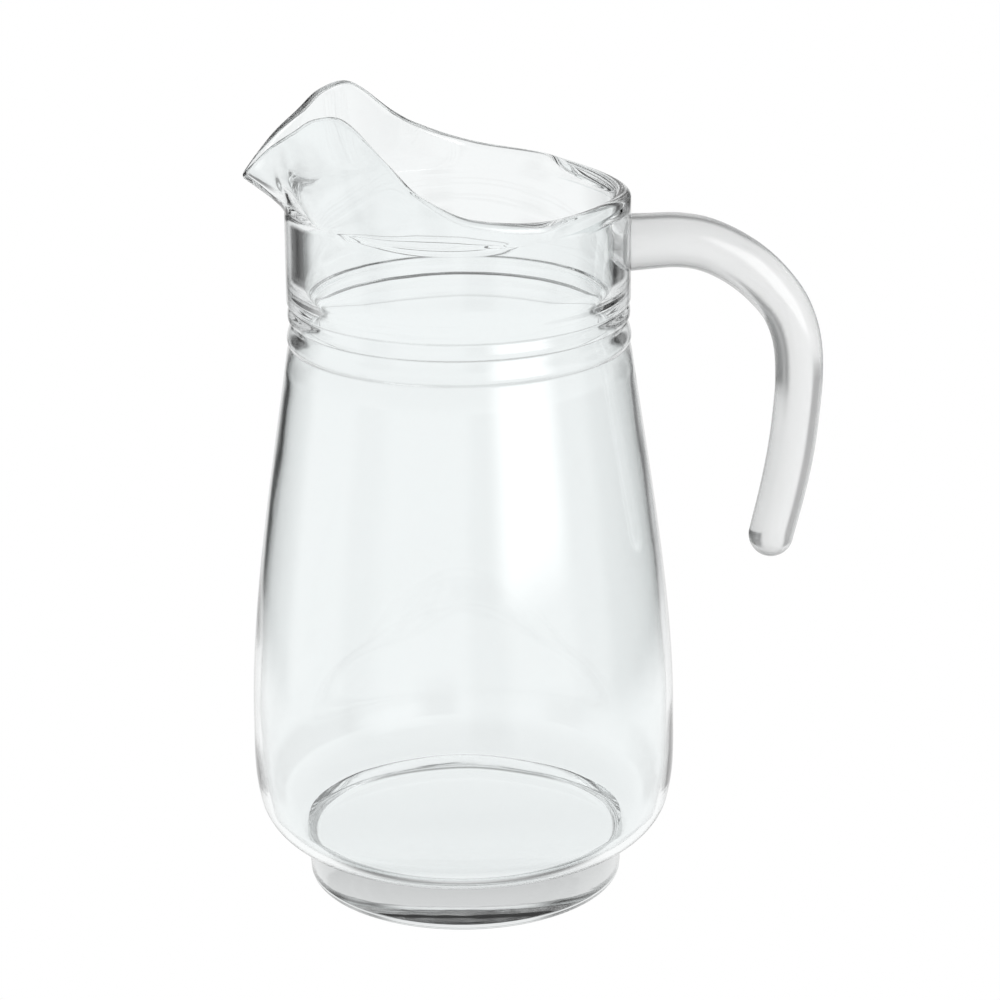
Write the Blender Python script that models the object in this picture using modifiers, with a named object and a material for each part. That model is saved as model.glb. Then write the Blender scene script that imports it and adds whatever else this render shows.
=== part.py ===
"""Glass water jug: a blown vessel with a pinched ice lip, and a solid glass handle.

Run with: blender --background --python part.py

Frame: metres, +Z up. The origin is on the jug's turning axis, on the plane the jug
stands on. The spout points along -X and the handle along +X.
"""
import math

import bmesh
import bpy
from mathutils import Vector

MM = 0.001

# Neck: a plain thick-walled cylinder.
NECK_RADIUS = 55.9 * MM
NECK_WALL = 5.6 * MM
NECK_END_Z = 202.6 * MM

# Ledge below the neck, as radius and height in millimetres from the top down: a groove, a
# band, a second groove and a small bead, where the body's taper starts.
LEDGE = (
    (55.9, 202.3), (54.9, 201.6), (54.8, 201.2), (55.4, 199.8), (55.7, 198.4), (55.65, 197.1),
    (55.6, 196.8), (54.3, 196.1), (54.2, 195.7), (54.6, 194.4), (54.95, 193.6), (55.5, 192.4),
    (56.0, 190.6), (56.1, 189.4), (55.9, 188.7), (55.4, 188.1), (55.9, 186.9),
)

# Throat: the narrowest place inside, between the bore of the neck and the thin-walled body.
BORE_END_Z = 212.0 * MM
BORE_PULL = 6.0 * MM
THROAT_RADIUS = 49.2 * MM
THROAT_Z = 201.0 * MM
THROAT_PULL_UP = 5.0 * MM
THROAT_PULL_DOWN = 9.0 * MM
SHOULDER_RADIUS = 55.03 * MM
SHOULDER_Z = 178.0 * MM
SHOULDER_PULL_UP = 6.0 * MM
SHOULDER_PULL_DOWN = 42.0 * MM

# Body: widens from the ledge to its largest radius, then turns in at the heel.
BODY_RADIUS = 70.5 * MM
BODY_WIDEST_Z = 57.8 * MM
BODY_WALL = 2.2 * MM
BODY_TAPER = 0.145
TAPER_PULL = 43.8 * MM
BODY_PULL = 39.8 * MM
INNER_BODY_PULL = 38.0 * MM
TURN_PULL_TOP = 0.45
TURN_PULL_HEEL = 0.35
HEEL_RADIUS = 16.5 * MM
HEEL_CENTRE = (52.8 * MM, 34.0 * MM)
HEEL_WALL = 2.4 * MM
HEEL_START = -12.0
HEEL_END = -74.0
FLOOR_CROWN = 2.5 * MM

# Foot: a thick solid disc with a rounded lower edge.
FOOT_TOP_RADIUS = 53.6 * MM
FOOT_TOP_Z = 17.2 * MM
FOOT_RADIUS = 52.5 * MM
FOOT_EDGE = 3.5 * MM

# Collar: the part of the wall above the neck that is drawn out into the lip.
COLLAR_Z = 232.5 * MM
BLANK_TOP_Z = 245.0 * MM
COLLAR_BEND = 0.12
LIP_WALL = 3.0 * MM
LIP_WALL_END = 40.0
FULL_WALL_START = 125.0
ANGLE_NUDGE = 0.5
RISE_NUDGE = 0.02

# Middle of the lip's rim on one side: angle round the axis from the spout in degrees,
# then X, Y and Z in millimetres. The other side mirrors it in Y.
LIP_RIM = (
    (0.0, -67.4, 0.0, 243.2),
    (14.0, -59.2, 9.5, 252.8),
    (28.0, -50.6, 16.5, 259.9),
    (38.0, -43.9, 22.5, 265.0),
    (47.0, -35.0, 28.6, 265.9),
    (60.0, -22.2, 37.4, 254.4),
    (75.0, -12.0, 47.6, 246.2),
    (95.0, 4.6, 52.9, 239.0),
    (125.0, 30.5, 43.5, 235.8),
    (180.0, 53.1, 0.0, 235.2),
)

# Handle: a solid rod fused to the neck at its top end and free at its lower end.
# Each point is X and Z of the centre line, then the rod's radius, in millimetres.
HANDLE_ROUTE = (
    (50.0, 219.4, 9.6),
    (60.5, 220.0, 9.1),
    (70.0, 220.4, 8.9),
    (78.5, 219.2, 8.7),
    (86.5, 215.9, 8.5),
    (94.2, 210.9, 8.4),
    (101.0, 204.4, 8.2),
    (106.4, 196.9, 8.0),
    (109.8, 187.0, 7.9),
    (110.8, 175.0, 7.8),
    (110.1, 162.5, 7.7),
    (108.5, 148.5, 7.7),
    (106.1, 135.5, 7.6),
    (102.4, 119.6, 7.4),
)
WELD_GAP = 0.3 * MM
CUTTER_HEIGHT = 80.0 * MM
CUTTER_Z = 215.0 * MM

TURN_STEPS = 60
CUTTER_STEPS = 128
ROD_STEP = 6.0 * MM
ROD_ROUNDNESS = 6
TIP_STEPS = 5
TIP_FLAT = 0.15
SHARP_ANGLE = math.radians(40.0)
MERGE_DISTANCE = 0.00001
GLASS_TINT = (0.94, 0.955, 0.95, 1.0)
GLASS_ROUGHNESS = 0.02
GLASS_IOR = 1.52


def clear_scene():
    for old in list(bpy.data.objects):
        bpy.data.objects.remove(old, do_unlink=True)


def new_collection(name):
    collection = bpy.data.collections.new(name)
    bpy.context.scene.collection.children.link(collection)
    return collection


def glass_material(name):
    material = bpy.data.materials.new(name)
    material.use_nodes = True
    shader = material.node_tree.nodes["Principled BSDF"]
    shader.inputs["Base Color"].default_value = GLASS_TINT
    shader.inputs["Metallic"].default_value = 0.0
    shader.inputs["Roughness"].default_value = GLASS_ROUGHNESS
    shader.inputs["IOR"].default_value = GLASS_IOR
    shader.inputs["Transmission Weight"].default_value = 1.0
    return material


def curve(start, leaving, end, arriving, steps):
    """Points after start on a cubic curve; leaving and arriving are the handles at its ends."""
    first = (start[0] + leaving[0], start[1] + leaving[1])
    second = (end[0] + arriving[0], end[1] + arriving[1])
    points = []
    for index in range(1, steps + 1):
        t = index / steps
        s = 1.0 - t
        weights = (s ** 3, 3 * s * s * t, 3 * s * t * t, t ** 3)
        corners = (start, first, second, end)
        points.append(tuple(sum(w * c[axis] for w, c in zip(weights, corners)) for axis in (0, 1)))
    return points


def arc(centre, radius, start, end, steps):
    """Points of an arc with both its ends; angles in degrees from the +radius direction."""
    points = []
    for index in range(steps + 1):
        angle = math.radians(start + (end - start) * index / steps)
        points.append((centre[0] + radius * math.cos(angle), centre[1] + radius * math.sin(angle)))
    return points


def column(radius, start, end, steps):
    """Evenly spaced points on a straight upright wall."""
    return [(radius, start + (end - start) * index / steps) for index in range(steps + 1)]


def heel_turn(widest, heel, steps):
    """Points from the widest place down to the top of the heel."""
    drop = widest[1] - heel[1]
    lean = TURN_PULL_HEEL * drop
    return curve(widest, (0.0, -TURN_PULL_TOP * drop),
                 heel, (lean * math.tan(math.radians(-HEEL_START)), lean), steps)


def outer_profile():
    """Outer outline from the top of the blank down to the centre of the base."""
    neck = column(NECK_RADIUS, BLANK_TOP_Z, COLLAR_Z, 5)
    neck += column(NECK_RADIUS, COLLAR_Z, NECK_END_Z, 2)[1:]
    ledge = [(radius * MM, height * MM) for radius, height in LEDGE]
    widest = (BODY_RADIUS, BODY_WIDEST_Z)
    body = curve(ledge[-1], (BODY_TAPER * TAPER_PULL, -TAPER_PULL), widest, (0.0, BODY_PULL), 9)
    heel = arc(HEEL_CENTRE, HEEL_RADIUS, HEEL_START, HEEL_END, 7)
    turn = heel_turn(widest, heel[0], 3)
    foot = [(FOOT_TOP_RADIUS, FOOT_TOP_Z)]
    foot += arc((FOOT_RADIUS - FOOT_EDGE, FOOT_EDGE), FOOT_EDGE, 0.0, -90.0, 4)
    return neck + ledge + body + turn + heel[1:] + foot + [(0.0, 0.0)]


def inner_profile():
    """Inner outline from the centre of the floor up to the top of the blank."""
    heel = arc(HEEL_CENTRE, HEEL_RADIUS - HEEL_WALL, -90.0, HEEL_START, 6)
    widest = (BODY_RADIUS - BODY_WALL, BODY_WIDEST_Z)
    turn = heel_turn(widest, heel[-1], 3)[-2::-1]
    shoulder = (SHOULDER_RADIUS, SHOULDER_Z)
    throat = (THROAT_RADIUS, THROAT_Z)
    bore = (NECK_RADIUS - NECK_WALL, BORE_END_Z)
    body = curve(widest, (0.0, INNER_BODY_PULL),
                 shoulder, (BODY_TAPER * SHOULDER_PULL_DOWN, -SHOULDER_PULL_DOWN), 7)
    taper = curve(shoulder, (-BODY_TAPER * SHOULDER_PULL_UP, SHOULDER_PULL_UP),
                  throat, (0.0, -THROAT_PULL_DOWN), 5)
    rise = curve(throat, (0.0, THROAT_PULL_UP), bore, (0.0, -BORE_PULL), 4)
    neck = column(bore[0], BORE_END_Z, COLLAR_Z, 1)[1:] + column(bore[0], COLLAR_Z, BLANK_TOP_Z, 5)[1:]
    return crowned_floor(heel[0], 4) + heel + turn + [widest] + body + taper + rise + neck


def crowned_floor(edge, steps):
    """Points from the centre of the floor, which stands a little higher, out to its edge."""
    points = []
    for index in range(steps):
        share = index / steps
        points.append((edge[0] * share, edge[1] + FLOOR_CROWN * (1.0 - share * share)))
    return points


def vessel_profile():
    """The whole wall: up the inner side, round the rim, down the outer side."""
    rim_centre = (NECK_RADIUS - 0.5 * NECK_WALL, BLANK_TOP_Z)
    rim = arc(rim_centre, 0.5 * NECK_WALL, 180.0, 0.0, 4)
    return inner_profile() + rim[1:-1] + outer_profile()


def turned_mesh(name, profile, steps):
    """Turn a (radius, height) profile round Z with a Screw modifier."""
    mesh = bpy.data.meshes.new(name + "_profile")
    links = [(index, index + 1) for index in range(len(profile) - 1)]
    mesh.from_pydata([(radius, 0.0, height) for radius, height in profile], links, [])
    blank = bpy.data.objects.new(name + "_profile", mesh)
    bpy.context.scene.collection.objects.link(blank)
    screw = blank.modifiers.new("turn", "SCREW")
    screw.axis = "Z"
    screw.steps = steps
    screw.render_steps = steps
    screw.use_merge_vertices = True
    screw.merge_threshold = MERGE_DISTANCE
    turned = evaluated_mesh(blank, name)
    bpy.data.objects.remove(blank, do_unlink=True)
    return turned


def evaluated_mesh(source, name):
    depsgraph = bpy.context.evaluated_depsgraph_get()
    mesh = bpy.data.meshes.new_from_object(source.evaluated_get(depsgraph))
    mesh.name = name
    return mesh


def along(points, position):
    """Value at a position on a smooth curve through rows of (position, value, ...)."""
    last = len(points) - 1
    index = 0
    while index < last - 1 and position > points[index + 1][0]:
        index += 1
    near, far = points[index], points[index + 1]
    before = points[index - 1] if index > 0 else near
    after = points[index + 2] if index + 2 <= last else far
    span = far[0] - near[0]
    t = (position - near[0]) / span
    values = []
    for axis in range(1, len(near)):
        start = slope(before, far, axis) * span
        end = slope(near, after, axis) * span
        rise = far[axis] - near[axis]
        bow = start + end - 2 * rise
        values.append(near[axis] + t * (start + t * (rise - start - bow + t * bow)))
    return values


def slope(before, after, axis):
    return (after[axis] - before[axis]) / (after[0] - before[0])


def mirrored_rim():
    """Rows of the lip's rim all the way round, with one more row past each end, in metres."""
    side = [(angle, x * MM, y * MM, z * MM) for angle, x, y, z in LIP_RIM]
    other = [(-angle, x, -y, z) for angle, x, y, z in reversed(side[1:])]
    before = (-360.0 - other[1][0], other[1][1], -other[1][2], other[1][3])
    after = (360.0 - side[-2][0], side[-2][1], -side[-2][2], side[-2][3])
    return [before] + other + side + [after]


RIM_ROWS = mirrored_rim()


def collar_point(angle, rise):
    """Middle of the collar's wall: rise is 0 at its foot and 1 at its rim."""
    middle = NECK_RADIUS - 0.5 * NECK_WALL
    turn = math.radians(angle)
    foot = Vector((-middle * math.cos(turn), middle * math.sin(turn), COLLAR_Z))
    rim = Vector(along(RIM_ROWS, angle))
    bend = foot + Vector((0.0, 0.0, COLLAR_BEND * (rim.z - foot.z)))
    return foot * (1 - rise) ** 2 + bend * 2 * rise * (1 - rise) + rim * rise ** 2


def smooth_step(value):
    value = min(max(value, 0.0), 1.0)
    return value * value * (3.0 - 2.0 * value)


def wall_share(angle, rise):
    """Wall thickness of the collar as a share of the neck's: thinner at the lip."""
    full = smooth_step((abs(angle) - LIP_WALL_END) / (FULL_WALL_START - LIP_WALL_END))
    rim_share = LIP_WALL / NECK_WALL
    rim_share += (1.0 - rim_share) * full
    return 1.0 + (rim_share - 1.0) * rise


def form_collar(mesh):
    """Draw the blank's collar out into the spout and its two side wings."""
    middle = NECK_RADIUS - 0.5 * NECK_WALL
    for vertex in mesh.vertices:
        if vertex.co.z <= COLLAR_Z:
            continue
        angle = math.degrees(math.atan2(vertex.co.y, -vertex.co.x))
        rise = min((vertex.co.z - COLLAR_Z) / (BLANK_TOP_Z - COLLAR_Z), 1.0)
        across = math.hypot(vertex.co.x, vertex.co.y) - middle
        above = max(vertex.co.z - BLANK_TOP_Z, 0.0)
        low = max(rise - RISE_NUDGE, 0.0)
        side = collar_point(angle + ANGLE_NUDGE, rise) - collar_point(angle - ANGLE_NUDGE, rise)
        up = (collar_point(angle, low + RISE_NUDGE) - collar_point(angle, low)).normalized()
        out = up.cross(side).normalized()
        shift = (out * across + up * above) * wall_share(angle, rise)
        vertex.co = collar_point(angle, rise) + shift


def finish_glass(piece, collection, slot):
    """Shade a glass piece, give it its material and put it in the collection."""
    piece.data.shade_smooth()
    piece.data.set_sharp_from_angle(angle=SHARP_ANGLE)
    piece.data.materials.clear()
    piece.data.materials.append(glass_material(slot))
    collection.objects.link(piece)


def make_vessel(collection):
    mesh = turned_mesh("jug_body", vessel_profile(), TURN_STEPS)
    form_collar(mesh)
    vessel = bpy.data.objects.new("jug_body", mesh)
    finish_glass(vessel, collection, "vessel_glass")


def handle_rows():
    """Points of the handle's centre line as (distance, x, z, radius), in metres."""
    rows = []
    distance = 0.0
    for x, z, radius in HANDLE_ROUTE:
        if rows:
            distance += math.hypot(x * MM - rows[-1][1], z * MM - rows[-1][2])
        rows.append((distance, x * MM, z * MM, radius * MM))
    return rows


def handle_centre_line():
    """Evenly spaced (x, z, radius) points, with the rounded tip at the end."""
    rows = handle_rows()
    length = rows[-1][0]
    count = round(length / ROD_STEP)
    points = [along(rows, length * index / count) for index in range(count + 1)]
    tip_x, tip_z, tip_radius = points[-1]
    heading = Vector((tip_x - points[-2][0], tip_z - points[-2][1])).normalized()
    for index in range(1, TIP_STEPS + 1):
        angle = 0.5 * math.pi * index / (TIP_STEPS + TIP_FLAT)
        reach = tip_radius * math.sin(angle)
        points.append([tip_x + heading.x * reach, tip_z + heading.y * reach,
                       tip_radius * math.cos(angle)])
    return points


def make_handle_rod():
    """The rod as a mesh, made from a bevelled curve with its caps welded on."""
    points = handle_centre_line()
    route = bpy.data.curves.new("handle_curve", "CURVE")
    route.dimensions = "3D"
    route.bevel_depth = MM
    route.bevel_resolution = ROD_ROUNDNESS
    route.use_fill_caps = True
    spline = route.splines.new("POLY")
    spline.points.add(len(points) - 1)
    for place, (x, z, radius) in zip(spline.points, points):
        place.co = (x, 0.0, z, 1.0)
        place.radius = radius / route.bevel_depth
    rod = bpy.data.objects.new("handle_curve", route)
    bpy.context.scene.collection.objects.link(rod)
    mesh = evaluated_mesh(rod, "handle")
    bpy.data.objects.remove(rod, do_unlink=True)
    weld_mesh(mesh)
    return mesh


def weld_mesh(mesh):
    work = bmesh.new()
    work.from_mesh(mesh)
    bmesh.ops.remove_doubles(work, verts=work.verts, dist=MERGE_DISTANCE)
    work.to_mesh(mesh)
    work.free()


def make_neck_cutter(collection):
    """A cylinder just larger than the neck, which seats the handle's end on it."""
    bpy.ops.mesh.primitive_cylinder_add(
        vertices=CUTTER_STEPS, radius=NECK_RADIUS + WELD_GAP, depth=CUTTER_HEIGHT,
        location=(0.0, 0.0, CUTTER_Z))
    cutter = bpy.context.object
    cutter.name = "neck_cutter"
    cutter.display_type = "WIRE"
    cutter.hide_render = True
    for owner in list(cutter.users_collection):
        owner.objects.unlink(cutter)
    collection.objects.link(cutter)
    return cutter


def make_handle(collection, cutter):
    handle = bpy.data.objects.new("handle", make_handle_rod())
    finish_glass(handle, collection, "handle_glass")
    seat = handle.modifiers.new("neck_seat", "BOOLEAN")
    seat.operation = "DIFFERENCE"
    seat.object = cutter


def main():
    clear_scene()
    parts = new_collection("water_jug")
    cutters = new_collection("cutters")
    make_vessel(parts)
    make_handle(parts, make_neck_cutter(cutters))


main()
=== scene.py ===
"""Clear glass water jug in a white studio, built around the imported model.

Frame: metres, +Z up. The origin is on the jug's turning axis, on the plane the jug
stands on. The spout points along -X and the handle along +X.
"""
import math

import bmesh
import bpy
from mathutils import Matrix, Vector, noise


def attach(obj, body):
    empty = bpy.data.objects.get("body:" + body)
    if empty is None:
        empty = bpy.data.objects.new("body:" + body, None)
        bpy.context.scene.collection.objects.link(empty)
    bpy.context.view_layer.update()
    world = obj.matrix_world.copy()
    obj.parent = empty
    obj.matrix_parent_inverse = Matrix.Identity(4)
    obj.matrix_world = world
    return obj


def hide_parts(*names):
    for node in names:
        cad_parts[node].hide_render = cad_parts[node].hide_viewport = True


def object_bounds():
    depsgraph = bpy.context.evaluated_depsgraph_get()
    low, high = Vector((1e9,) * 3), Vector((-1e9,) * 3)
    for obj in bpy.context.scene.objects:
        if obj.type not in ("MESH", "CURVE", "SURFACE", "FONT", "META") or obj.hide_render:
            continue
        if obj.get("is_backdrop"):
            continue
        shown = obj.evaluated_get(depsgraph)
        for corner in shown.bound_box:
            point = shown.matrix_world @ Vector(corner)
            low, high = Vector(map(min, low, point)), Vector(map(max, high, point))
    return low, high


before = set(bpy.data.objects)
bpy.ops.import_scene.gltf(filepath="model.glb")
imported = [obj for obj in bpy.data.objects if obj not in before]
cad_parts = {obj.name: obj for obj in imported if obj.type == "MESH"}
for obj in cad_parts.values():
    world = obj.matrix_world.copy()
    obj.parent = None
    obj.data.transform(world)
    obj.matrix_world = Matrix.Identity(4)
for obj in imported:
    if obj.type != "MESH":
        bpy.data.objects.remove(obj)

CAD_LOW, CAD_HIGH = (Vector(corner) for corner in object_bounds())
MM = 0.001

# Neck: a plain thick-walled cylinder.
NECK_RADIUS = 55.9 * MM
NECK_WALL = 5.6 * MM
NECK_END_Z = 202.6 * MM

# Ledge below the neck, as radius and height in millimetres from the top down: a groove, a
# band, a second groove and a small bead, where the body's taper starts.
LEDGE = (
    (55.9, 202.3), (54.9, 201.6), (54.8, 201.2), (55.4, 199.8), (55.7, 198.4), (55.65, 197.1),
    (55.6, 196.8), (54.3, 196.1), (54.2, 195.7), (54.6, 194.4), (54.95, 193.6), (55.5, 192.4),
    (56.0, 190.6), (56.1, 189.4), (55.9, 188.7), (55.4, 188.1), (55.9, 186.9),
)

# Throat: the narrowest place inside, between the bore of the neck and the thin-walled body.
BORE_END_Z = 212.0 * MM
BORE_PULL = 6.0 * MM
THROAT_RADIUS = 49.2 * MM
THROAT_Z = 201.0 * MM
THROAT_PULL_UP = 5.0 * MM
THROAT_PULL_DOWN = 9.0 * MM
SHOULDER_RADIUS = 55.03 * MM
SHOULDER_Z = 178.0 * MM
SHOULDER_PULL_UP = 6.0 * MM
SHOULDER_PULL_DOWN = 42.0 * MM

# Body: widens from the ledge to its largest radius, then turns in at the heel.
BODY_RADIUS = 70.5 * MM
BODY_WIDEST_Z = 57.8 * MM
BODY_WALL = 2.2 * MM
BODY_TAPER = 0.145
TAPER_PULL = 43.8 * MM
BODY_PULL = 39.8 * MM
INNER_BODY_PULL = 38.0 * MM
TURN_PULL_TOP = 0.45
TURN_PULL_HEEL = 0.35
HEEL_RADIUS = 16.5 * MM
HEEL_CENTRE = (52.8 * MM, 34.0 * MM)
HEEL_WALL = 2.4 * MM
HEEL_START = -12.0
HEEL_END = -74.0
FLOOR_CROWN = 2.5 * MM

# Foot: a thick solid disc with a rounded lower edge.
FOOT_TOP_RADIUS = 53.6 * MM
FOOT_TOP_Z = 17.2 * MM
FOOT_RADIUS = 52.5 * MM
FOOT_EDGE = 3.5 * MM

# Collar: the part of the wall above the neck that is drawn out into the lip.
COLLAR_Z = 232.5 * MM
BLANK_TOP_Z = 245.0 * MM
COLLAR_BEND = 0.12
LIP_WALL = 3.0 * MM
LIP_WALL_END = 40.0
FULL_WALL_START = 125.0
ANGLE_NUDGE = 0.5
RISE_NUDGE = 0.06

# Slight unevenness of the blown wall's inner side: how deep, how wide, and from where to where.
WAVE_DEPTH = 0.12 * MM
WAVE_WIDTH = 26.0 * MM
WAVE_LOW = 30.0 * MM
WAVE_HIGH = 225.0 * MM
WAVE_FADE = 20.0 * MM

# Middle of the lip's rim on one side: angle round the axis from the spout in degrees,
# then X, Y and Z in millimetres. The other side mirrors it in Y.
LIP_RIM = (
    (0.0, -67.4, 0.0, 243.2),
    (14.0, -59.2, 9.5, 252.8),
    (28.0, -50.6, 16.5, 259.9),
    (38.0, -43.9, 22.5, 265.0),
    (47.0, -35.0, 28.6, 265.9),
    (60.0, -22.2, 37.4, 254.4),
    (75.0, -12.0, 47.6, 246.2),
    (95.0, 4.6, 52.9, 239.0),
    (125.0, 30.5, 43.5, 235.8),
    (180.0, 53.1, 0.0, 235.2),
)

# Handle: a solid rod fused to the neck at its top end and free at its lower end.
# Each point is X and Z of the centre line, then the rod's radius, in millimetres.
HANDLE_ROUTE = (
    (50.0, 219.4, 9.6),
    (60.5, 220.0, 9.1),
    (70.0, 220.4, 8.9),
    (78.5, 219.2, 8.7),
    (86.5, 215.9, 8.5),
    (94.2, 210.9, 8.4),
    (101.0, 204.4, 8.2),
    (106.4, 196.9, 8.0),
    (109.8, 187.0, 7.9),
    (110.8, 175.0, 7.8),
    (110.1, 162.5, 7.7),
    (108.5, 148.5, 7.7),
    (106.1, 135.5, 7.6),
    (102.4, 119.6, 7.4),
)
WELD_GAP = 0.02 * MM
CUTTER_HEIGHT = 80.0 * MM
CUTTER_Z = 215.0 * MM

# Mesh density: steps round the axis, then steps along each stretch of the two outlines.
TURN_STEPS = 288
CUTTER_STEPS = 360
COLLAR_ROWS = 44
NECK_STEPS = 14
LEDGE_STEPS = 4
BODY_STEPS = 60
TURN_IN_STEPS = 12
HEEL_STEPS = 28
FOOT_STEPS = 14
FLOOR_STEPS = 30
INNER_BODY_STEPS = 48
TAPER_STEPS = 24
RISE_STEPS = 20
BORE_STEPS = 12
RIM_STEPS = 16
ROD_STEP = 2.0 * MM
ROD_ROUNDNESS = 30
TIP_STEPS = 14
TIP_FLAT = 0.15
SHARP_ANGLE = math.radians(40.0)
MERGE_DISTANCE = 0.00001

# Glass: two close tints that drift into each other, with painted shade that darkens it where it is
# seen edge-on.
GLASS_IOR = 1.52
VESSEL_TINTS = ((0.938, 0.960, 0.960), (0.956, 0.974, 0.976))
HANDLE_TINTS = ((0.965, 0.975, 0.975), (0.985, 0.992, 0.992))
# Painted edge shade: grey levels by how edge-on the glass is seen, multiplied into its colour to
# darken its outline.
VESSEL_PAINTED_EDGE_SHADE = ((0.75, 1.0), (0.85, 0.68), (0.92, 0.2), (1.0, 0.1))
HANDLE_PAINTED_EDGE_SHADE = ((0.72, 1.0), (0.88, 0.55), (1.0, 0.12))
VESSEL_CLEARNESS = 1.0
HANDLE_CLEARNESS = 0.72
TINT_SCALE = 14.0
RIPPLE_SCALE = 55.0
RIPPLE_DEPTH = 0.02 * MM
HAZE = (0.0, 0.02)

# Places of the colour sockets on a Mix node.
MIX_FACTOR = 0
MIX_FIRST = 6
MIX_SECOND = 7
MIX_RESULT = 2

# Camera: where it looks from, and how far it stands to one side of the jug's axis.
CAMERA_PITCH = 18.7
CAMERA_ROLL = -0.5
CAMERA_DISTANCE = 1247.4 * MM
CAMERA_SIDESTEP = 12.8 * MM
CAMERA_HEIGHT = 132.2 * MM
CAMERA_LENS = 136.08
SENSOR_WIDTH = 36.0

# Studio, as grey levels by angle in degrees. FLAGS goes round from +Y towards +X, for what the
# glass mirrors, and THROUGH is the same for what shows through it. FLAG_REACH is how much of
# them shows at an angle above the horizon, and SKY is the level of everything at that angle.
# WINDOW is a bright softbox that the glass mirrors, by both angles. A little of it, by
# WINDOW_THROUGH, also shows through the glass.
FLAGS = (
    (-180.0, 1.0), (-78.0, 1.0), (-62.0, 0.3), (-46.0, 0.15), (-32.0, 0.05),
    (-26.0, 0.03), (-13.0, 1.0), (13.0, 1.0), (24.0, 0.1), (32.0, 0.3),
    (42.0, 0.02), (84.0, 0.02), (98.0, 1.0), (180.0, 1.0),
)
THROUGH = (
    (-180.0, 1.0), (-140.0, 1.0), (-124.0, 0.25), (-116.0, 0.25), (-104.0, 1.0),
    (-76.0, 1.0), (-64.0, 0.5), (-50.0, 0.25), (-34.0, 0.05), (-28.0, 0.05),
    (-17.0, 1.0), (17.0, 1.0), (28.0, 0.15), (34.0, 0.3), (42.0, 0.02), (108.0, 0.05),
    (123.0, 1.0), (147.0, 1.0), (160.0, 0.05), (170.0, 0.1), (180.0, 1.0),
)
FLAG_REACH = ((-20.0, 0.0), (-15.5, 1.0), (8.0, 1.0), (16.0, 0.0))
SKY = (
    (-90.0, 0.95), (-75.0, 0.8), (-61.0, 0.25), (-48.0, 1.0), (0.0, 0.97), (15.0, 0.86),
    (30.0, 0.55), (45.0, 0.26), (65.0, 0.1),
)
WINDOW_SIDES = ((110.0, 0.0), (126.0, 1.0), (150.0, 1.0), (165.0, 0.0))
WINDOW_REACH = ((-8.0, 0.0), (-3.5, 1.0), (30.0, 1.0), (44.0, 0.0))
WINDOW_LEVEL = 4.2
WINDOW_THROUGH = 0.12
HALF_ROUND = 180.0
QUARTER_ROUND = 90.0
WHITE = (1.0, 1.0, 1.0, 1.0)
BLACK = (0.0, 0.0, 0.0, 1.0)

FLOOR_Z = -0.3 * MM
FLOOR_RADIUS = 8.0
FLOOR_SIDES = 96
BOUNCES = 24


def curve(start, leaving, end, arriving, steps):
    """Points after start on a cubic curve; leaving and arriving are the handles at its ends."""
    first = (start[0] + leaving[0], start[1] + leaving[1])
    second = (end[0] + arriving[0], end[1] + arriving[1])
    points = []
    for index in range(1, steps + 1):
        t = index / steps
        s = 1.0 - t
        weights = (s ** 3, 3 * s * s * t, 3 * s * t * t, t ** 3)
        corners = (start, first, second, end)
        points.append(tuple(sum(w * c[axis] for w, c in zip(weights, corners)) for axis in (0, 1)))
    return points


def arc(centre, radius, start, end, steps):
    """Points of an arc with both its ends; angles in degrees from the +radius direction."""
    points = []
    for index in range(steps + 1):
        angle = math.radians(start + (end - start) * index / steps)
        points.append((centre[0] + radius * math.cos(angle), centre[1] + radius * math.sin(angle)))
    return points


def column(radius, start, end, steps):
    """Evenly spaced points on a straight upright wall."""
    return [(radius, start + (end - start) * index / steps) for index in range(steps + 1)]


def rounded(corners, steps):
    """A quadratic B-spline along the corners: a smooth run that keeps close to them."""
    points = []
    for before, here, after in zip(corners, corners[1:], corners[2:]):
        start = [0.5 * (a + b) for a, b in zip(before, here)]
        end = [0.5 * (a + b) for a, b in zip(here, after)]
        for index in range(steps):
            t = index / steps
            points.append(tuple((1 - t) ** 2 * a + 2 * t * (1 - t) * b + t * t * c
                                for a, b, c in zip(start, here, end)))
    return points


def heel_turn(widest, heel, steps):
    """Points from the widest place down to the top of the heel."""
    drop = widest[1] - heel[1]
    lean = TURN_PULL_HEEL * drop
    return curve(widest, (0.0, -TURN_PULL_TOP * drop),
                 heel, (lean * math.tan(math.radians(-HEEL_START)), lean), steps)


def outer_profile():
    """Outer outline from the top of the blank down to the centre of the base."""
    neck = column(NECK_RADIUS, BLANK_TOP_Z, COLLAR_Z, COLLAR_ROWS)
    neck += column(NECK_RADIUS, COLLAR_Z, NECK_END_Z, NECK_STEPS)[1:]
    corners = [(radius * MM, height * MM) for radius, height in LEDGE]
    ledge = rounded(neck[-2:] + corners, LEDGE_STEPS)[LEDGE_STEPS:]
    widest = (BODY_RADIUS, BODY_WIDEST_Z)
    body = curve(corners[-1], (BODY_TAPER * TAPER_PULL, -TAPER_PULL),
                 widest, (0.0, BODY_PULL), BODY_STEPS)
    heel = arc(HEEL_CENTRE, HEEL_RADIUS, HEEL_START, HEEL_END, HEEL_STEPS)
    turn = heel_turn(widest, heel[0], TURN_IN_STEPS)
    foot = [(FOOT_TOP_RADIUS, FOOT_TOP_Z)]
    foot += arc((FOOT_RADIUS - FOOT_EDGE, FOOT_EDGE), FOOT_EDGE, 0.0, -90.0, FOOT_STEPS)
    return neck + ledge + body + turn + heel[1:] + foot + [(0.0, 0.0)]


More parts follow.
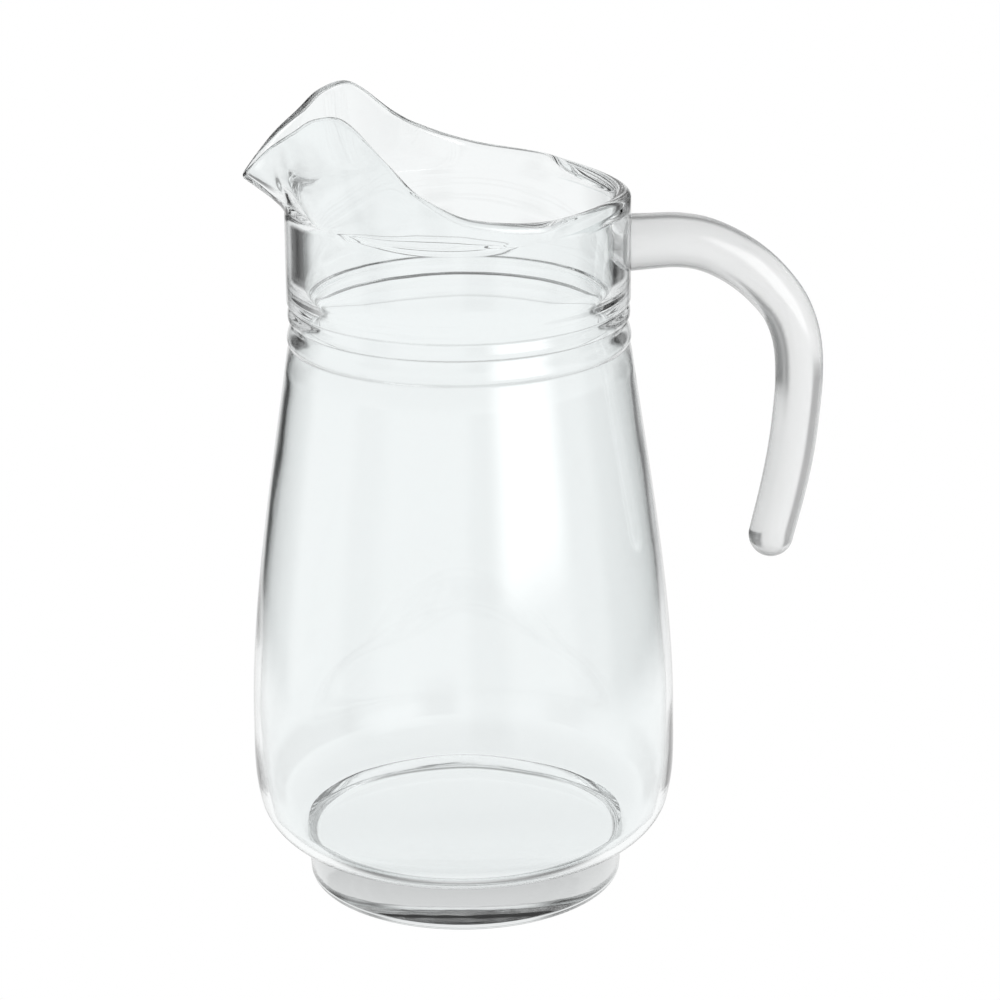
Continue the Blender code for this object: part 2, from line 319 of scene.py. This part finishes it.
def inner_profile():
    """Inner outline from the centre of the floor up to the top of the blank."""
    heel = arc(HEEL_CENTRE, HEEL_RADIUS - HEEL_WALL, -90.0, HEEL_START, HEEL_STEPS)
    widest = (BODY_RADIUS - BODY_WALL, BODY_WIDEST_Z)
    turn = heel_turn(widest, heel[-1], TURN_IN_STEPS)[-2::-1]
    shoulder = (SHOULDER_RADIUS, SHOULDER_Z)
    throat = (THROAT_RADIUS, THROAT_Z)
    bore = (NECK_RADIUS - NECK_WALL, BORE_END_Z)
    body = curve(widest, (0.0, INNER_BODY_PULL),
                 shoulder, (BODY_TAPER * SHOULDER_PULL_DOWN, -SHOULDER_PULL_DOWN), INNER_BODY_STEPS)
    taper = curve(shoulder, (-BODY_TAPER * SHOULDER_PULL_UP, SHOULDER_PULL_UP),
                  throat, (0.0, -THROAT_PULL_DOWN), TAPER_STEPS)
    rise = curve(throat, (0.0, THROAT_PULL_UP), bore, (0.0, -BORE_PULL), RISE_STEPS)
    neck = column(bore[0], BORE_END_Z, COLLAR_Z, BORE_STEPS)[1:]
    neck += column(bore[0], COLLAR_Z, BLANK_TOP_Z, COLLAR_ROWS)[1:]
    floor = crowned_floor(heel[0], FLOOR_STEPS)
    return floor + heel + turn + [widest] + body + taper + rise + neck


def crowned_floor(edge, steps):
    """Points from the centre of the floor, which stands a little higher, out to its edge."""
    points = []
    for index in range(steps):
        share = index / steps
        points.append((edge[0] * share, edge[1] + FLOOR_CROWN * (1.0 - share * share)))
    return points


def vessel_profile():
    """The whole wall: up the inner side, round the rim, down the outer side."""
    rim_centre = (NECK_RADIUS - 0.5 * NECK_WALL, BLANK_TOP_Z)
    rim = arc(rim_centre, 0.5 * NECK_WALL, 180.0, 0.0, RIM_STEPS)
    return inner_profile() + rim[1:-1] + outer_profile()


def turned_mesh(name, profile, steps):
    """Turn a (radius, height) profile round Z with a Screw modifier."""
    mesh = bpy.data.meshes.new(name + "_profile")
    links = [(index, index + 1) for index in range(len(profile) - 1)]
    mesh.from_pydata([(radius, 0.0, height) for radius, height in profile], links, [])
    blank = bpy.data.objects.new(name + "_profile", mesh)
    bpy.context.scene.collection.objects.link(blank)
    screw = blank.modifiers.new("turn", "SCREW")
    screw.axis = "Z"
    screw.steps = steps
    screw.render_steps = steps
    screw.use_merge_vertices = True
    screw.merge_threshold = MERGE_DISTANCE
    turned = evaluated_mesh(blank, name)
    bpy.data.objects.remove(blank, do_unlink=True)
    return turned


def evaluated_mesh(source, name):
    depsgraph = bpy.context.evaluated_depsgraph_get()
    mesh = bpy.data.meshes.new_from_object(source.evaluated_get(depsgraph))
    mesh.name = name
    return mesh


def along(points, position):
    """Value at a position on a smooth curve through rows of (position, value, ...)."""
    last = len(points) - 1
    index = 0
    while index < last - 1 and position > points[index + 1][0]:
        index += 1
    near, far = points[index], points[index + 1]
    before = points[index - 1] if index > 0 else near
    after = points[index + 2] if index + 2 <= last else far
    span = far[0] - near[0]
    t = (position - near[0]) / span
    values = []
    for axis in range(1, len(near)):
        start = slope(before, far, axis) * span
        end = slope(near, after, axis) * span
        rise = far[axis] - near[axis]
        bow = start + end - 2 * rise
        values.append(near[axis] + t * (start + t * (rise - start - bow + t * bow)))
    return values


def slope(before, after, axis):
    return (after[axis] - before[axis]) / (after[0] - before[0])


def mirrored_rim():
    """Rows of the lip's rim all the way round, with one more row past each end, in metres."""
    side = [(angle, x * MM, y * MM, z * MM) for angle, x, y, z in LIP_RIM]
    other = [(-angle, x, -y, z) for angle, x, y, z in reversed(side[1:])]
    before = (-360.0 - other[1][0], other[1][1], -other[1][2], other[1][3])
    after = (360.0 - side[-2][0], side[-2][1], -side[-2][2], side[-2][3])
    return [before] + other + side + [after]


RIM_ROWS = mirrored_rim()


def collar_point(angle, rise):
    """Middle of the collar's wall: rise is 0 at its foot and 1 at its rim."""
    middle = NECK_RADIUS - 0.5 * NECK_WALL
    turn = math.radians(angle)
    foot = Vector((-middle * math.cos(turn), middle * math.sin(turn), COLLAR_Z))
    rim = Vector(along(RIM_ROWS, angle))
    bend = foot + Vector((0.0, 0.0, COLLAR_BEND * (rim.z - foot.z)))
    return foot * (1 - rise) ** 2 + bend * 2 * rise * (1 - rise) + rim * rise ** 2


def smooth_step(value):
    value = min(max(value, 0.0), 1.0)
    return value * value * (3.0 - 2.0 * value)


def wall_share(angle, rise):
    """Wall thickness of the collar as a share of the neck's: thinner at the lip."""
    full = smooth_step((abs(angle) - LIP_WALL_END) / (FULL_WALL_START - LIP_WALL_END))
    rim_share = LIP_WALL / NECK_WALL
    rim_share += (1.0 - rim_share) * full
    return 1.0 + (rim_share - 1.0) * rise


def form_collar(mesh):
    """Draw the blank's collar out into the spout and its two side wings."""
    middle = NECK_RADIUS - 0.5 * NECK_WALL
    for vertex in mesh.vertices:
        if vertex.co.z <= COLLAR_Z:
            continue
        angle = math.degrees(math.atan2(vertex.co.y, -vertex.co.x))
        rise = min((vertex.co.z - COLLAR_Z) / (BLANK_TOP_Z - COLLAR_Z), 1.0)
        across = math.hypot(vertex.co.x, vertex.co.y) - middle
        above = max(vertex.co.z - BLANK_TOP_Z, 0.0)
        low = max(rise - RISE_NUDGE, 0.0)
        side = collar_point(angle + ANGLE_NUDGE, rise) - collar_point(angle - ANGLE_NUDGE, rise)
        up = (collar_point(angle, low + RISE_NUDGE) - collar_point(angle, low)).normalized()
        out = up.cross(side).normalized()
        shift = (out * across + up * above) * wall_share(angle, rise)
        vertex.co = collar_point(angle, rise) + shift


def make_waves(mesh):
    """Press slow, shallow waves into the inner side of the wall."""
    inner_rows = {tuple(round(place / MERGE_DISTANCE) for place in row) for row in inner_profile()}
    for vertex in mesh.vertices:
        radius = math.hypot(vertex.co.x, vertex.co.y)
        row = (round(radius / MERGE_DISTANCE), round(vertex.co.z / MERGE_DISTANCE))
        if row not in inner_rows or not WAVE_LOW < vertex.co.z < WAVE_HIGH:
            continue
        edge = min(vertex.co.z - WAVE_LOW, WAVE_HIGH - vertex.co.z) / WAVE_FADE
        push = WAVE_DEPTH * smooth_step(edge) * noise.noise(vertex.co / WAVE_WIDTH)
        vertex.co.x *= 1.0 + push / radius
        vertex.co.y *= 1.0 + push / radius


def fit_inside(mesh):
    """Shrink a mesh by a hair, so that no vertex leaves the box of the CAD."""
    share = 1.0
    for vertex in mesh.vertices:
        for low, high, place in zip(CAD_LOW, CAD_HIGH, vertex.co):
            if place > high:
                share = min(share, high / place)
            if place < low and low < 0.0:
                share = min(share, low / place)
    mesh.transform(Matrix.Scale(share, 4))


def glass_material(name, tints, edge, clearness):
    """Clear glass with drifting tint and haze, faint ripples and painted shade on its grazing
    edges.
    """
    material = bpy.data.materials.new(name)
    material.use_nodes = True
    nodes, links = material.node_tree.nodes, material.node_tree.links
    shader = nodes["Principled BSDF"]
    shader.inputs["Metallic"].default_value = 0.0
    shader.inputs["IOR"].default_value = GLASS_IOR
    shader.inputs["Transmission Weight"].default_value = clearness
    place = nodes.new("ShaderNodeTexCoord").outputs["Object"]
    drift = noise_node(nodes, links, place, TINT_SCALE)
    tint = mixed(nodes, links, drift, (*tints[0], 1.0), (*tints[1], 1.0))
    # Painted edge shade: the colour is darkened where the surface is seen edge-on, by the given
    # ramp.
    facing = nodes.new("ShaderNodeLayerWeight")
    shade = ramp_node(nodes, links, facing.outputs["Facing"], edge)
    links.new(mixed(nodes, links, 1.0, tint, shade, "MULTIPLY"), shader.inputs["Base Color"])
    links.new(ranged(nodes, links, drift, (0.0, 1.0), HAZE), shader.inputs["Roughness"])
    bump = nodes.new("ShaderNodeBump")
    bump.inputs["Distance"].default_value = RIPPLE_DEPTH
    links.new(noise_node(nodes, links, place, RIPPLE_SCALE), bump.inputs["Height"])
    links.new(bump.outputs["Normal"], shader.inputs["Normal"])
    return material


def noise_node(nodes, links, place, scale):
    node = nodes.new("ShaderNodeTexNoise")
    node.inputs["Scale"].default_value = scale
    links.new(place, node.inputs["Vector"])
    return node.outputs[0]


def connect(links, source, socket):
    """Link an output to a socket, or set the socket to a plain value."""
    if isinstance(source, bpy.types.NodeSocket):
        links.new(source, socket)
    else:
        socket.default_value = source


def mixed(nodes, links, factor, first, second, blend="MIX"):
    """The first colour where factor is 0, and its blend with the second where it is 1."""
    node = nodes.new("ShaderNodeMix")
    node.data_type = "RGBA"
    node.blend_type = blend
    connect(links, factor, node.inputs[MIX_FACTOR])
    connect(links, first, node.inputs[MIX_FIRST])
    connect(links, second, node.inputs[MIX_SECOND])
    return node.outputs[MIX_RESULT]


def ranged(nodes, links, source, old, new):
    """The value at source, moved from the old range to the new one."""
    node = nodes.new("ShaderNodeMapRange")
    for name, value in zip(("From Min", "From Max", "To Min", "To Max"), (*old, *new)):
        node.inputs[name].default_value = value
    links.new(source, node.inputs["Value"])
    return node.outputs[0]


def ramp_node(nodes, links, source, stops):
    """Grey levels along the value at source, eased from one stop to the next."""
    node = nodes.new("ShaderNodeValToRGB")
    ramp = node.color_ramp
    ramp.interpolation = "EASE"
    ramp.elements.remove(ramp.elements[-1])
    for index, (position, level) in enumerate(stops):
        element = ramp.elements.new(position) if index else ramp.elements[0]
        element.position = position
        element.color = (level, level, level, 1.0)
    links.new(source, node.inputs["Fac"])
    return node.outputs["Color"]


def dress(piece, mesh, part, material):
    """Give a piece its final mesh and glass, and tell the frame what it stands for."""
    fit_inside(mesh)
    mesh.shade_smooth()
    mesh.set_sharp_from_angle(angle=SHARP_ANGLE)
    mesh.materials.clear()
    mesh.materials.append(material)
    piece.data = mesh
    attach(piece, "root")
    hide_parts(part)


def make_vessel():
    mesh = turned_mesh("vessel", vessel_profile(), TURN_STEPS)
    make_waves(mesh)
    form_collar(mesh)
    vessel = bpy.data.objects.new("vessel", mesh)
    bpy.context.scene.collection.objects.link(vessel)
    glass = glass_material("vessel_glass", VESSEL_TINTS, VESSEL_PAINTED_EDGE_SHADE, VESSEL_CLEARNESS)
    dress(vessel, mesh, "jug_body", glass)


def handle_rows():
    """Points of the handle's centre line as (distance, x, z, radius), in metres."""
    rows = []
    distance = 0.0
    for x, z, radius in HANDLE_ROUTE:
        if rows:
            distance += math.hypot(x * MM - rows[-1][1], z * MM - rows[-1][2])
        rows.append((distance, x * MM, z * MM, radius * MM))
    return rows


def handle_centre_line():
    """Evenly spaced (x, z, radius) points, with the rounded tip at the end."""
    rows = handle_rows()
    length = rows[-1][0]
    count = round(length / ROD_STEP)
    points = [along(rows, length * index / count) for index in range(count + 1)]
    tip_x, tip_z, tip_radius = points[-1]
    heading = Vector((tip_x - points[-2][0], tip_z - points[-2][1])).normalized()
    for index in range(1, TIP_STEPS + 1):
        angle = 0.5 * math.pi * index / (TIP_STEPS + TIP_FLAT)
        reach = tip_radius * math.sin(angle)
        points.append([tip_x + heading.x * reach, tip_z + heading.y * reach,
                       tip_radius * math.cos(angle)])
    return points


def make_handle_rod():
    """The rod as a mesh, made from a bevelled curve with its caps welded on."""
    points = handle_centre_line()
    route = bpy.data.curves.new("handle_curve", "CURVE")
    route.dimensions = "3D"
    route.bevel_depth = MM
    route.bevel_resolution = ROD_ROUNDNESS
    route.use_fill_caps = True
    spline = route.splines.new("POLY")
    spline.points.add(len(points) - 1)
    for place, (x, z, radius) in zip(spline.points, points):
        place.co = (x, 0.0, z, 1.0)
        place.radius = radius / route.bevel_depth
    rod = bpy.data.objects.new("handle_curve", route)
    bpy.context.scene.collection.objects.link(rod)
    mesh = evaluated_mesh(rod, "handle")
    bpy.data.objects.remove(rod, do_unlink=True)
    weld_mesh(mesh)
    return mesh


def weld_mesh(mesh):
    work = bmesh.new()
    work.from_mesh(mesh)
    bmesh.ops.remove_doubles(work, verts=work.verts, dist=MERGE_DISTANCE)
    work.to_mesh(mesh)
    work.free()


def make_handle():
    """The rod, with its end hollowed to sit on the neck."""
    handle = bpy.data.objects.new("handle_rod", make_handle_rod())
    bpy.context.scene.collection.objects.link(handle)
    bpy.ops.mesh.primitive_cylinder_add(
        vertices=CUTTER_STEPS, radius=NECK_RADIUS + WELD_GAP, depth=CUTTER_HEIGHT,
        location=(0.0, 0.0, CUTTER_Z))
    cutter = bpy.context.object
    seat = handle.modifiers.new("neck_seat", "BOOLEAN")
    seat.operation = "DIFFERENCE"
    seat.object = cutter
    cut = evaluated_mesh(handle, "handle_rod")
    handle.modifiers.clear()
    bpy.data.objects.remove(cutter, do_unlink=True)
    glass = glass_material("handle_glass", HANDLE_TINTS, HANDLE_PAINTED_EDGE_SHADE, HANDLE_CLEARNESS)
    dress(handle, cut, "handle", glass)


def make_floor():
    """A plain white floor, seen only by the camera."""
    bpy.ops.mesh.primitive_circle_add(vertices=FLOOR_SIDES, radius=FLOOR_RADIUS, fill_type="NGON",
                                      location=(0.0, 0.0, FLOOR_Z))
    floor = bpy.context.object
    floor.name = "studio_floor"
    material = bpy.data.materials.new("floor_white")
    material.use_nodes = True
    nodes = material.node_tree.nodes
    nodes.clear()
    glow = nodes.new("ShaderNodeEmission")
    output = nodes.new("ShaderNodeOutputMaterial")
    material.node_tree.links.new(glow.outputs["Emission"], output.inputs["Surface"])
    floor.data.materials.append(material)
    floor.visible_transmission = False
    floor.visible_glossy = False
    floor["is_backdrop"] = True


def share_of(stops, limit):
    """Stops in degrees as positions from 0 at -limit to 1 at +limit."""
    return [(0.5 + 0.5 * angle / limit, level) for angle, level in stops]


def make_world():
    """White for the camera. The glass sees flags at its sides, a dim ceiling and a softbox."""
    world = bpy.data.worlds.new("studio")
    bpy.context.scene.world = world
    world.use_nodes = True
    nodes, links = world.node_tree.nodes, world.node_tree.links
    parts = nodes.new("ShaderNodeSeparateXYZ")
    links.new(nodes.new("ShaderNodeTexCoord").outputs["Generated"], parts.inputs["Vector"])
    turn = nodes.new("ShaderNodeMath")
    turn.operation = "ARCTAN2"
    links.new(parts.outputs["X"], turn.inputs[0])
    links.new(parts.outputs["Y"], turn.inputs[1])
    tilt = nodes.new("ShaderNodeMath")
    tilt.operation = "ARCSINE"
    links.new(parts.outputs["Z"], tilt.inputs[0])
    round_about = ranged(nodes, links, turn.outputs[0], (-math.pi, math.pi), (0.0, 1.0))
    above = ranged(nodes, links, tilt.outputs[0], (-0.5 * math.pi, 0.5 * math.pi), (0.0, 1.0))
    path = nodes.new("ShaderNodeLightPath")
    mirrored = path.outputs["Is Reflection Ray"]
    flags = ramp_node(nodes, links, round_about, share_of(FLAGS, HALF_ROUND))
    through = ramp_node(nodes, links, round_about, share_of(THROUGH, HALF_ROUND))
    around = mixed(nodes, links, mirrored, through, flags)
    reach = ramp_node(nodes, links, above, share_of(FLAG_REACH, QUARTER_ROUND))
    sky = ramp_node(nodes, links, above, share_of(SKY, QUARTER_ROUND))
    room = mixed(nodes, links, reach, sky, around, "MULTIPLY")
    sides = ramp_node(nodes, links, round_about, share_of(WINDOW_SIDES, HALF_ROUND))
    rows = ramp_node(nodes, links, above, share_of(WINDOW_REACH, QUARTER_ROUND))
    window = mixed(nodes, links, sides, BLACK, rows)
    share = ranged(nodes, links, mirrored, (0.0, 1.0), (WINDOW_THROUGH, 1.0))
    shown = mixed(nodes, links, share, BLACK, window)
    lit = mixed(nodes, links, shown, room, (WINDOW_LEVEL, WINDOW_LEVEL, WINDOW_LEVEL, 1.0))
    seen = mixed(nodes, links, path.outputs["Is Camera Ray"], lit, WHITE)
    links.new(seen, nodes["Background"].inputs["Color"])


def make_camera():
    pitch = math.radians(CAMERA_PITCH)
    roll = math.radians(CAMERA_ROLL)
    ahead = Vector((0.0, math.cos(pitch), -math.sin(pitch)))
    above = Vector((0.0, math.sin(pitch), math.cos(pitch)))
    right = Vector((1.0, 0.0, 0.0))
    place = Vector((CAMERA_SIDESTEP, 0.0, CAMERA_HEIGHT)) - ahead * CAMERA_DISTANCE
    across = right * math.cos(roll) + above * math.sin(roll)
    upward = above * math.cos(roll) - right * math.sin(roll)
    data = bpy.data.cameras.new("camera")
    data.sensor_width = SENSOR_WIDTH
    data.lens = CAMERA_LENS
    camera = bpy.data.objects.new("camera", data)
    turned = Matrix((across, upward, -ahead)).transposed().to_4x4()
    camera.matrix_world = Matrix.Translation(place) @ turned
    bpy.context.scene.collection.objects.link(camera)
    bpy.context.scene.camera = camera


make_camera()
make_vessel()
make_handle()
make_floor()
make_world()
bpy.context.scene.view_settings.view_transform = "Standard"
bpy.context.scene.cycles.max_bounces = BOUNCES
bpy.context.scene.cycles.glossy_bounces = BOUNCES
bpy.context.scene.cycles.transmission_bounces = BOUNCES
